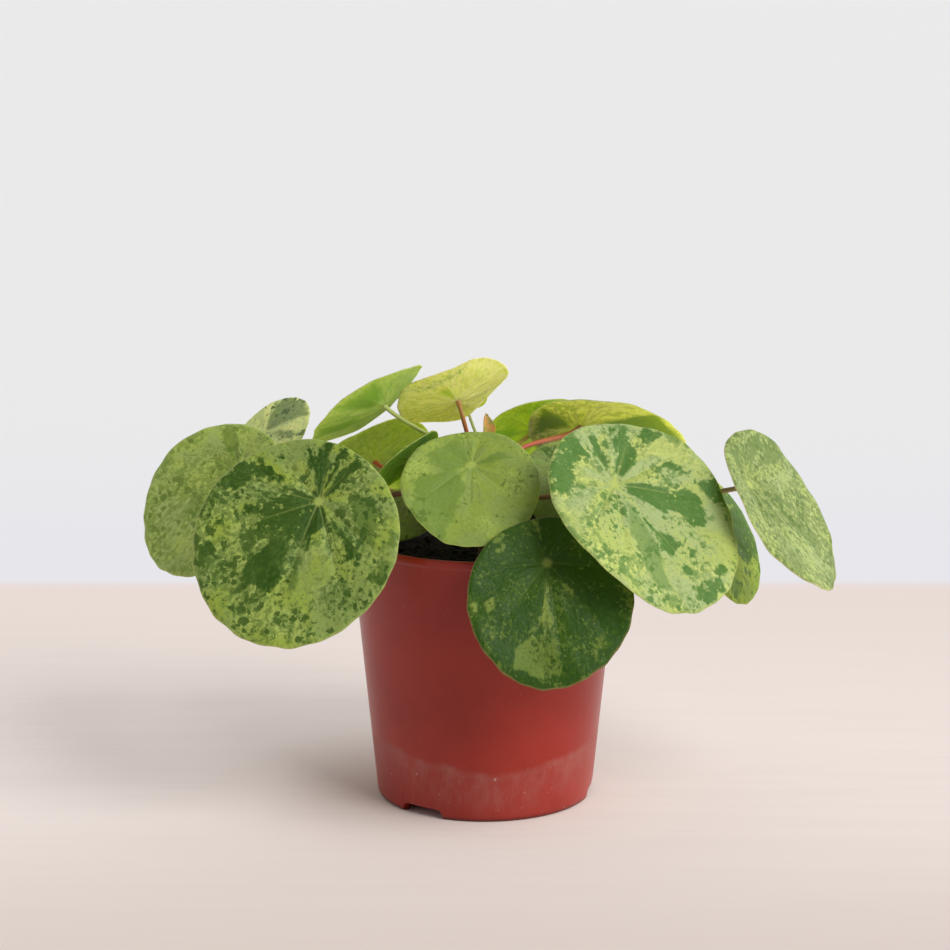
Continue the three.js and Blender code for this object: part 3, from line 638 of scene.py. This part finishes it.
def new_piece(name, points, faces, skins, face_skins=None, attributes=None):
    """A smooth-shaded mesh piece in metres. attributes holds one number or vector for each point."""
    mesh = bpy.data.meshes.new(name)
    mesh.from_pydata([tuple(p) for p in points], [], faces)
    mesh.update()
    for skin in skins:
        mesh.materials.append(skin)
    if face_skins is not None:
        mesh.polygons.foreach_set("material_index", np.asarray(face_skins, dtype=np.int32))
    mesh.polygons.foreach_set("use_smooth", np.ones(len(mesh.polygons), dtype=bool))
    for key, values in (attributes or {}).items():
        values = np.asarray(values, dtype=np.float32)
        kind = "FLOAT" if values.ndim == 1 else "FLOAT_VECTOR"
        layer = mesh.attributes.new(key, kind, "POINT")
        layer.data.foreach_set("value" if kind == "FLOAT" else "vector", values.ravel())
    piece = bpy.data.objects.new(name, mesh)
    bpy.context.collection.objects.link(piece)
    return piece


def settle(piece, node):
    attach(piece, "root")
    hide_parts(node)


def outward(angle):
    return np.array([math.sin(angle), -math.cos(angle), 0.0])


def ring(radius, z, count):
    """Points spread evenly round a level circle."""
    turns = [2 * math.pi * i / count for i in range(count)]
    return [(radius * math.cos(turn), radius * math.sin(turn), z) for turn in turns]


def bands(first, rows, around):
    """The faces between rings of points that follow one another from a first point on."""
    faces = []
    for near in range(first, first + (rows - 1) * around, around):
        for i in range(around):
            j = (i + 1) % around
            faces.append((near + i, near + j, near + around + j, near + around + i))
    return faces


class Leaf:
    """One leaf's own numbers, in mm and degrees, and its blade's axes."""

    def __init__(self, name, values):
        self.name = name
        for key, value in zip(LEAF_KEYS, values):
            setattr(self, key, value)
        self.hub = np.array(self.hub, dtype=float)
        self.seed = 3.0 * list(LEAVES).index(name) + 1.0
        face, tilt, spin = [math.radians(v) for v in (self.face, self.tilt, self.spin)]
        self.normal = outward(face) * math.sin(tilt) + UP * math.cos(tilt)
        downhill = outward(face) * math.cos(tilt) - UP * math.sin(tilt)
        aside = np.cross(self.normal, downhill)
        self.tip = downhill * math.cos(spin) + aside * math.sin(spin)
        self.across = np.cross(self.normal, self.tip)

    def margin(self, bearing):
        """How far the plain outline is from the hub, along a bearing in radians."""
        a, b, shift = self.length / 2, self.width / 2, self.offset * self.length
        c, s = np.cos(bearing), np.sin(bearing)
        qa = (c / a) ** 2 + (s / b) ** 2
        qb = -2 * shift * c / a ** 2
        qc = (shift / a) ** 2 - 1
        return (-qb + np.sqrt(qb ** 2 - 4 * qa * qc)) / (2 * qa)

    def surface(self, share, spoke):
        """The upper face, as in the part, with the finer relief of a real leaf on it."""
        turn = np.sin((spoke - math.radians(self.dent_at)) / 2)
        turn = turn / math.sin(math.radians(DENT_SPREAD) / 2)
        reach = share * (1 - self.dent * np.exp(-turn ** 2))
        teeth = 0.0035 * np.sin(23 * spoke + self.seed) + 0.003 * np.sin(14 * spoke + 2 * self.seed)
        reach = reach * (1 + teeth * share ** 8)
        along = reach * (self.offset * self.length + self.length / 2 * np.cos(spoke))
        across = reach * self.width / 2 * np.sin(spoke)
        if self.name == "bud":
            across = across * (1 - 0.6 * np.clip(np.cos(spoke), 0, 1) ** 2)
        hollow = DIMPLE * min(1, self.length / 60)
        rise = hollow * (1 - np.exp(-(along ** 2 + across ** 2) / DIMPLE_RADIUS ** 2))
        drop = self.arch * (2 * along / self.length) ** 2 + self.roll * (2 * across / self.width) ** 2
        wave = self.ripple * share ** 3 * np.sin(self.waves * spoke + math.radians(self.phase))
        size = self.length / 90
        radius, bearing = np.hypot(along, across), np.arctan2(across, along)
        turns = VEINS * bearing / (2 * math.pi) + VEIN_SWAY * np.sin(VEIN_WAVES * bearing + self.seed)
        from_vein = np.abs(turns - np.round(turns)) * 2 * math.pi / VEINS * radius
        groove = 0.8 * size * np.exp(-(from_vein / 2.4) ** 2) * np.exp(-((share - 0.35) / 0.35) ** 2)
        groove = groove * np.minimum(1, 9 * share)
        quilt = 0.4 * size * np.sin(along * 0.31 + self.seed) * np.sin(across * 0.27 + 2 * self.seed)
        curl = 0.7 * size * np.clip((share - 0.93) / 0.07, 0, 1) ** 2
        height = rise - drop + wave - groove + quilt * share - curl
        return along, across, height

    def to_world(self, along, across, height):
        return (self.hub + np.outer(along, self.tip) + np.outer(across, self.across)
                + np.outer(height, self.normal)) * MM


def depth_inside(points, corners):
    """How deep each point lies inside an outline, in mm. Outside it is negative."""
    inside = np.zeros(len(points), dtype=bool)
    nearest = np.full(len(points), 1e9)
    for a, b in zip(corners, np.roll(corners, -1, axis=0)):
        edge = b - a
        share = np.clip(((points - a) @ edge) / (edge @ edge), 0, 1)
        nearest = np.minimum(nearest, np.hypot(*(points - a - share[:, None] * edge).T))
        crosses = (a[1] > points[:, 1]) != (b[1] > points[:, 1])
        with np.errstate(divide="ignore", invalid="ignore"):
            at = a[0] + (points[:, 1] - a[1]) / (b[1] - a[1]) * edge[0]
        inside ^= crosses & (points[:, 0] < at)
    return np.where(inside, nearest, -nearest)


def patch_depth(leaf, outlines, points):
    """The depth inside the deepest of several patches, negative outside them all."""
    deepest = np.full(len(points), -PATCH_REACH)
    for outline in outlines:
        numbers = [float(word) for word in outline.split()]
        bearings, shares = np.radians(numbers[::2]), np.array(numbers[1::2])
        reach = leaf.margin(bearings) * shares
        corners = np.stack([reach * np.cos(bearings), reach * np.sin(bearings)], axis=1)
        deepest = np.maximum(deepest, depth_inside(points, corners))
    return np.clip(deepest, -PATCH_REACH, PATCH_REACH)


def blade_piece(leaf):
    """The blade: two skins in rings round the hub, thinner towards a rounded margin."""
    spokes, rings = (168, 40) if leaf.length > SMALL_LEAF else (96, 22)
    shares = list(np.linspace(0, 1, rings + 1)[1:-1]) + [0.985, 1.0]
    angle = np.linspace(0, 2 * math.pi, spokes, endpoint=False)
    drops = [BLADE * (1 - 0.4 * share ** 6) for share in shares]
    upper = [(share, 1.0, 0.0) for share in shares[:-1]]
    upper += [(1.0, 1.0, 0.12), (1.0, 1.003, drops[-1] / 2)]
    under = [(1.0, 1.0, drops[-1] - 0.12)] + list(zip(shares, [1.0] * len(shares), drops))[-2::-1]
    columns = [[np.zeros(1)] * 4]
    for share, grow, drop in upper + under:
        along, across, height = leaf.surface(np.full(spokes, share), angle)
        columns.append([along * grow, across * grow, height - drop, np.full(spokes, share)])
    columns.append([np.zeros(1), np.zeros(1), np.array([-BLADE]), np.zeros(1)])
    along, across, height, share_of = [np.concatenate(parts) for parts in zip(*columns)]

    rows = len(upper) + len(under)
    last = 1 + rows * spokes

    def at(row, spoke):
        return 1 + row * spokes + spoke % spokes

    faces, skins = [], []
    for s in range(spokes):
        faces.append((0, at(0, s), at(0, s + 1)))
        skins.append(0)
        for row in range(rows - 1):
            faces.append((at(row, s), at(row + 1, s), at(row + 1, s + 1), at(row, s + 1)))
            skins.append(0 if row < len(shares) else 1)
        faces.append((last, at(rows - 1, s + 1), at(rows - 1, s)))
        skins.append(1)

    look = LOOKS[leaf.name]
    flat = np.stack([along, across], axis=1)
    depths = [patch_depth(leaf, look.get(kind, []), flat) for kind in ("dark", "mid", "pale")]
    piece = new_piece(
        f"blade_{leaf.name}", leaf.to_world(along, across, height), faces,
        [BladeSkin(leaf.name, look, lower).paint() for lower in (False, True)], skins,
        {"flat": np.stack([along, across, np.full(len(along), leaf.seed)], axis=1),
         "patches": np.stack(depths, axis=1), "share": share_of})
    settle(piece, f"blade_{leaf.name}")


def petiole_points(leaf):
    """The stalk's middle line, as in the part, and on into the blade."""
    radius, rise = leaf.thick / 2, math.radians(leaf.rise)
    side = outward(math.radians(leaf.leave))
    from_trunk = STEM_RADIUS + GAP + radius * math.sin(rise) if leaf.node < STEM_TOP else 0.0
    start = side * from_trunk + UP * leaf.node
    leaving = side * math.cos(rise) + UP * math.sin(rise)
    reach = np.linalg.norm(start - leaf.hub)
    arrival = (start - leaf.hub) / reach - leaf.bend * leaf.normal
    arrival /= np.linalg.norm(arrival)
    slope = -arrival @ leaf.normal
    clearance = (GAP + radius * math.sqrt(1 - slope ** 2)) / slope
    end = leaf.hub - leaf.normal * BLADE + arrival * clearance
    poles = [start, start + leaving * 0.35 * reach, end + arrival * 0.3 * reach, end]
    t = np.linspace(0, 1, PETIOLE_ROWS)[:, None]
    curve = ((1 - t) ** 3 * poles[0] + 3 * (1 - t) ** 2 * t * poles[1]
             + 3 * (1 - t) * t ** 2 * poles[2] + t ** 3 * poles[3])
    root = start - leaving * (1.6 if from_trunk else 0.5)
    under_blade, in_blade = leaf.hub - leaf.normal * (BLADE + 0.05), leaf.hub - leaf.normal * 0.3
    return np.vstack([root, curve, under_blade, in_blade])


def tube(path, radii, sides):
    """A closed tube along a path, turned as little as it can be."""
    tangents = np.gradient(path, axis=0)
    tangents /= np.linalg.norm(tangents, axis=1)[:, None]
    lean = np.cross(tangents[0], UP if abs(tangents[0][2]) < 0.9 else np.array([1.0, 0, 0]))
    points = []
    for centre, tangent, radius in zip(path, tangents, radii):
        lean = lean - tangent * (lean @ tangent)
        lean /= np.linalg.norm(lean)
        other = np.cross(tangent, lean)
        for i in range(sides):
            turn = 2 * math.pi * i / sides
            points.append(centre + radius * (lean * math.cos(turn) + other * math.sin(turn)))
    ends = [tuple(reversed(range(sides))), tuple(range(len(points) - sides, len(points)))]
    return np.array(points), ends + bands(0, len(path), sides)


def petiole_piece(leaf):
    """The stalk: thicker where it leaves the trunk and where it meets the blade."""
    path = petiole_points(leaf)
    run = np.linspace(0, 1, len(path))
    swell = 1 + 0.3 * np.exp(-(run / 0.06) ** 2) + 0.35 * np.exp(-((1 - run) / 0.05) ** 2)
    swell *= 1 + 0.03 * np.sin(run * 21 + leaf.seed)
    points, faces = tube(path, leaf.thick / 2 * 0.97 * swell, PETIOLE_SIDES)
    lengths = np.concatenate([[0], np.cumsum(np.linalg.norm(np.diff(path, axis=0), axis=1))])
    run = np.repeat(lengths / lengths[-1], PETIOLE_SIDES)
    turn = np.tile(np.sin(np.arange(PETIOLE_SIDES) * 2 * math.pi / PETIOLE_SIDES), len(path))
    piece = new_piece(f"petiole_{leaf.name}", points * MM, faces, [petiole_skin(leaf.name)], None,
                      {"along_it": np.stack([run, turn, np.full(len(run), leaf.seed)], axis=1)})
    settle(piece, f"petiole_{leaf.name}")


def outer_wall(z):
    return FOOT_RADIUS + (WALL_TOP_RADIUS - FOOT_RADIUS) * z / (POT_HEIGHT - LIP_HEIGHT)


def inner_wall(z):
    return outer_wall(z) - WALL


def notch_rise(angle):
    """How high the foot is cut away at an angle from the front, with eased corners."""
    rise = 0.0
    for i in range(NOTCHES):
        off = angle - math.radians(NOTCH_START + i * 360 / NOTCHES)
        off = (off + math.pi) % (2 * math.pi) - math.pi
        across = abs(RING_OUTER * math.sin(off)) if abs(off) < 1 else 99.0
        rise = max(rise, NOTCH_HEIGHT * max(0.0, 1 - (across / (NOTCH_WIDTH / 2)) ** 10) ** 0.5)
    return rise


def pot_angles():
    """Angles round the pot, closer together at the sides of each notch."""
    angles = set(np.radians(np.arange(0, 360, 2.5)))
    side = math.asin(NOTCH_WIDTH / 2 / RING_OUTER)
    for i in range(NOTCHES):
        middle = math.radians(NOTCH_START + i * 360 / NOTCHES)
        for edge in (-side, side):
            for step in np.radians([-1.6, -1.1, -0.7, -0.4, -0.2, -0.08, 0, 0.08, 0.4]):
                angles.add((middle + edge + step * math.copysign(1, edge)) % (2 * math.pi))
    angles = sorted(angles)
    return [a for a, b in zip(angles, angles[1:] + [angles[0] + 2 * math.pi]) if b - a > 1e-4]


def pot_piece():
    """The pot: one profile turned round its axis, notched at the foot and drilled through the base."""
    floor_z = BASE_Z + BASE_THICKNESS
    corner_in, corner_up = BASE_CORNER
    top, under_lip = POT_HEIGHT, POT_HEIGHT - LIP_HEIGHT
    wall = [(outer_wall(z), z) for z in np.linspace(2.5, under_lip - 1.2, 22)]
    lining = [(inner_wall(z), z) for z in np.linspace(under_lip - 1.0, floor_z + corner_up, 20)]
    lip_inside = WALL_TOP_RADIUS - WALL + LIP_INSET
    profile = [
        (FAN_RADIUS, BASE_Z), (RING_INNER - RING_TAPER - 1.5, BASE_Z),
        (RING_INNER - RING_TAPER, BASE_Z - 0.2),
        (RING_INNER - 0.2, 0.4), (RING_INNER + 0.3, 0), (RING_OUTER - 0.3, 0), (RING_OUTER + 0.4, 0.5),
        (FOOT_RADIUS + 0.02, 1.3), *wall,
        (WALL_TOP_RADIUS + 0.05, under_lip - 0.4), (WALL_TOP_RADIUS + 0.3, under_lip),
        (RIM_RADIUS - 0.1, under_lip + 0.5), (RIM_RADIUS, under_lip + 1.1),
        (RIM_RADIUS, top - LIP_ROUND),
        (RIM_RADIUS - 0.2, top - 0.2), (RIM_RADIUS - LIP_ROUND, top),
        (lip_inside + 0.2, top), (lip_inside - 0.1, top - 0.3), (WALL_TOP_RADIUS - WALL, under_lip),
        *lining, (inner_wall(floor_z) - corner_in, floor_z), (FAN_RADIUS, floor_z)]
    lining_from = len(profile) - len(lining) - 4     # the black inside starts at the lip's inner edge
    notched = range(2, 9)                            # the foot ring and the wall's first two rows
    angles = pot_angles()
    points = []
    for angle in angles:
        rise = notch_rise(angle)
        for index, (radius, z) in enumerate(profile):
            if index in notched:
                z = max(z, rise + 0.2 * z * rise / NOTCH_HEIGHT)
            place = outward(angle) * radius
            points.append((place[0], place[1], z))
    rows, around = len(profile), len(angles)
    faces, skins = [], []
    for a in range(around):
        b = (a + 1) % around
        for r in range(rows - 1):
            faces.append((a * rows + r, b * rows + r, b * rows + r + 1, a * rows + r + 1))
            skins.append(1 if r >= lining_from else 0)
    under, over = len(points), len(points) + 1
    points += [(0, 0, BASE_Z), (0, 0, floor_z)]
    for a in range(around):
        b = (a + 1) % around
        faces += [(under, b * rows, a * rows), (over, a * rows + rows - 1, b * rows + rows - 1)]
        skins += [0, 1]
    piece = new_piece("pot", np.array(points) * MM, faces, [pot_skin(), pot_lining()], skins)
    drill(piece)
    settle(piece, "pot")


def drill(pot):
    """Cuts the drain holes through the base plate, and keeps the pot's own edges crisp."""
    cutters = []
    for i in range(DRAINS):
        place = outward(math.radians(i * 360 / DRAINS)) * DRAIN_CIRCLE * MM
        path = np.array([(*place[:2], z * MM) for z in (BASE_Z - 3, BASE_Z, BASE_Z + 4)])
        points, faces = tube(path, [DRAIN_RADIUS * MM] * 3, 32)
        cutter = new_piece(f"drain_cutter_{i}", points, faces, [])
        cutters.append(cutter)
        cut = pot.modifiers.new("drain", "BOOLEAN")
        cut.operation, cut.solver, cut.object = "DIFFERENCE", "EXACT", cutter
    graph = bpy.context.evaluated_depsgraph_get()
    drilled = bpy.data.meshes.new_from_object(pot.evaluated_get(graph))
    pot.modifiers.clear()
    pot.data = drilled
    for cutter in cutters:
        bpy.data.objects.remove(cutter)
    for polygon in drilled.polygons:
        polygon.use_smooth = True
    drilled.set_sharp_from_angle(angle=math.radians(38))


def soil_piece():
    """Peat: a lumpy top with loose crumbs on it, a well for the trunk, and the plain plug below."""
    rng = random.Random(11)
    edge = inner_wall(SOIL_TOP) - GAP
    hole = STEM_RADIUS - 0.2
    spokes, rings = 150, 46
    radii = hole + (edge - hole) * np.linspace(0, 1, rings) ** 0.85
    points, faces = [], []
    for radius in radii:
        for x, y, _ in ring(radius, 0.0, spokes):
            slow = math.sin(x / 8 + 1) * math.cos(y / 7)
            quick = math.sin(x / 3.1 + y / 4.3) * math.cos(y / 3.7 - x / 6)
            z = SOIL_TOP + 0.75 * slow + 0.5 * quick
            z += 1.5 * noise.noise(Vector((x / 3, y / 3, 1.0)))
            z += 0.9 * noise.noise(Vector((x / 1.3, y / 1.3, 4.0)))
            points.append((x, y, z - 2.0 * max(0.0, (radius - edge + 3) / 3) ** 2))
    bottom = BASE_Z + BASE_THICKNESS + GAP
    levels = [SOIL_TOP - 4, 50, bottom + BASE_CORNER[1]]
    for z in levels:
        points += ring(inner_wall(z) - GAP, z, spokes)
    points += ring(inner_wall(bottom) - BASE_CORNER[0] - GAP, bottom, spokes)
    rows = rings + len(levels) + 1
    for near, i, j, far in [(row * spokes, i, (i + 1) % spokes, (row + 1) * spokes)
                            for row in range(rows - 1) for i in range(spokes)]:
        faces.append((near + i, far + i, far + j, near + j))
    faces.append(tuple(reversed(range((rows - 1) * spokes, rows * spokes))))
    well = len(points)
    points += ring(hole, SOIL_TOP - WELL_DEPTH, spokes)
    for i in range(spokes):
        j = (i + 1) % spokes
        faces.append((i, j, well + j, well + i))
    faces.append(tuple(range(well, well + spokes)))
    for _ in range(CRUMBS):
        turn, out = rng.uniform(0, 2 * math.pi), edge * math.sqrt(rng.uniform(0.02, 0.9))
        size = rng.choice([0.5, 0.7, 0.9, 1.3, 1.9])
        centre = (out * math.cos(turn), out * math.sin(turn), SOIL_TOP + rng.uniform(-0.2, 0.9))
        crumb(points, faces, centre, size, rng)
    piece = new_piece("soil", np.array(points) * MM, faces, [peat()])
    settle(piece, "soil")


def crumb(points, faces, centre, size, rng):
    """One crumb of peat: an uneven lump of three six-sided rings."""
    first = len(points)
    stretch = [size * rng.uniform(low, high) for low, high in ((0.6, 1.4), (0.4, 0.9), (0.35, 0.8))]
    turn = rng.uniform(0, math.pi)
    for z, girth in ((-1, 0.5), (-0.1, 1.0), (0.7, 0.75)):
        for i in range(6):
            a = 2 * math.pi * i / 6
            x = stretch[0] * girth * math.cos(a) * rng.uniform(0.8, 1.2)
            y = stretch[1] * girth * math.sin(a) * rng.uniform(0.8, 1.2)
            points.append((centre[0] + x * math.cos(turn) - y * math.sin(turn),
                           centre[1] + x * math.sin(turn) + y * math.cos(turn),
                           centre[2] + stretch[2] * z))
    faces.append(tuple(first + i for i in reversed(range(6))))
    faces.append(tuple(first + 12 + i for i in range(6)))
    faces += bands(first, 3, 6)


def stem_piece():
    """The trunk: an uneven stalk that swells at each leaf scar and closes at the crown."""
    rows, sides = 150, 40
    zs = np.linspace(STEM_FOOT, STEM_TOP + 0.6, rows)
    path = np.stack([np.zeros(rows), np.zeros(rows), zs], axis=1)
    points, faces = tube(path, np.ones(rows), sides)
    radius = []
    for z in zs:
        share = (z / SCAR_STEP) % 1.0
        radius.append(STEM_RADIUS - 0.5 + 0.5 * math.exp(-(min(share, 1 - share) / 0.13) ** 2))
    radius = np.array(radius) * np.clip((STEM_TOP + 2.2 - zs) / 3.0, 0.15, 1) ** 0.5
    for row in range(rows):
        for i in range(sides):
            p = points[row * sides + i]
            rough = 1 + 0.07 * noise.noise(Vector((p[0] * 2.0, p[1] * 2.0, zs[row] / 3)))
            p[:2] = p[:2] * radius[row] * rough
    piece = new_piece("stem", points * MM, faces, [bark()])
    settle(piece, "stem")


# ---------------------------------------------------------------- the studio (metres, degrees)

EYE, LOOK_DOWN, LENS = (-0.0044, -1.58, 0.526), 13.6, 140.8
SUN_FROM, SUN_ENERGY, SUN_SPREAD, SUN_COLOUR = (138.0, -119.0, 150.0), 2.1, 33, (1.0, 0.985, 0.965)
FLOOR_REACH, TABLE_EDGE = 40.0, (0.338, 0.356)
GLOW_SHARE, GLOW_STRENGTH = 0.3, 0.29


def floor():
    """A pale table, and the plain grey ground beyond its far edge.

    Open floor glows a little, so that the plant's shadow stays as light as daylight leaves it. The
    glow fades out under the pot and on its shaded side.
    """
    finish = Finish("floor", Roughness=0.8, Specular_IOR_Level=0.15, Emission_Strength=GLOW_STRENGTH)
    place = finish.place()
    x, y, _ = finish.split(place)
    grain = finish.noise(finish.stretch(place, 3.0, 34.0, 1.0), 1.5, 6.0, 0.65)
    fibre = finish.noise(finish.stretch(place, 12.0, 160.0, 1.0), 1.5, 4.0, 0.6)
    streak = grain * 0.6 + fibre * 0.4
    wood = finish.mix(finish.step(streak, 0.35, 0.7), linear((243, 231, 226)), linear((239, 227, 221)))
    wood = finish.mix((1.0 - finish.step(y, -0.24, -0.02)) * 0.8, wood, linear((220, 206, 199)))
    wood = finish.mix(finish.step(y, 0.04, 0.33) * 0.7, wood, linear((232, 219, 213)))
    beyond = finish.mix(finish.step(y, 0.35, 0.8), linear((233, 233, 239)), linear((236, 236, 237)))
    colour = finish.mix(finish.step(y, *TABLE_EDGE), wood, beyond)
    from_foot = (x * x + y * y) ** 0.5
    from_shade = ((x + 0.03) ** 2.0 + y * y) ** 0.5
    glow = finish.step(from_foot, 0.046, 0.05) * finish.step(from_shade, 0.03, 0.11)
    finish.feed("Base Color", finish.dim(colour, 1.0 - glow * GLOW_SHARE))
    finish.feed("Emission Color", finish.dim(colour, glow))
    corners = [(-FLOOR_REACH, -FLOOR_REACH, 0.0), (FLOOR_REACH, -FLOOR_REACH, 0.0),
               (FLOOR_REACH, FLOOR_REACH, 0.0), (-FLOOR_REACH, FLOOR_REACH, 0.0)]
    new_piece("floor", corners, [(0, 1, 2, 3)], [finish.material])


def lights():
    """Daylight from the right, and low pale walls that light both flanks more than the front."""
    world = bpy.data.worlds.new("studio")
    bpy.context.scene.world = world
    world.use_nodes = True
    sky = Sky(world)
    x, y, z = sky.split(sky.node("ShaderNodeTexCoord", output=0))
    walls = x.most(x * -1.0) * (1.5 - z * 1.5)
    sky.feed("Strength", (walls + x * 0.33 + y * 0.4 + 0.29).most(0.04))
    sun = bpy.data.lights.new("key", "SUN")
    sun.energy, sun.angle, sun.color = SUN_ENERGY, math.radians(SUN_SPREAD), SUN_COLOUR
    lamp = bpy.data.objects.new("key", sun)
    lamp.rotation_euler = Vector(SUN_FROM).normalized().to_track_quat("Z", "Y").to_euler()
    bpy.context.collection.objects.link(lamp)


def camera():
    """The photograph's own view, from in front and a little above."""
    data = bpy.data.cameras.new("camera")
    data.sensor_width, data.lens = 36.0, LENS
    eye = bpy.data.objects.new("camera", data)
    eye.location = EYE
    eye.rotation_euler = (math.radians(90 - LOOK_DOWN), 0, 0)
    bpy.context.collection.objects.link(eye)
    bpy.context.scene.camera = eye
    bpy.context.scene.view_settings.view_transform = "Standard"


camera()
lights()
floor()
pot_piece()
soil_piece()
stem_piece()
for grown in [Leaf(name, values) for name, values in LEAVES.items()]:
    blade_piece(grown)
    petiole_piece(grown)
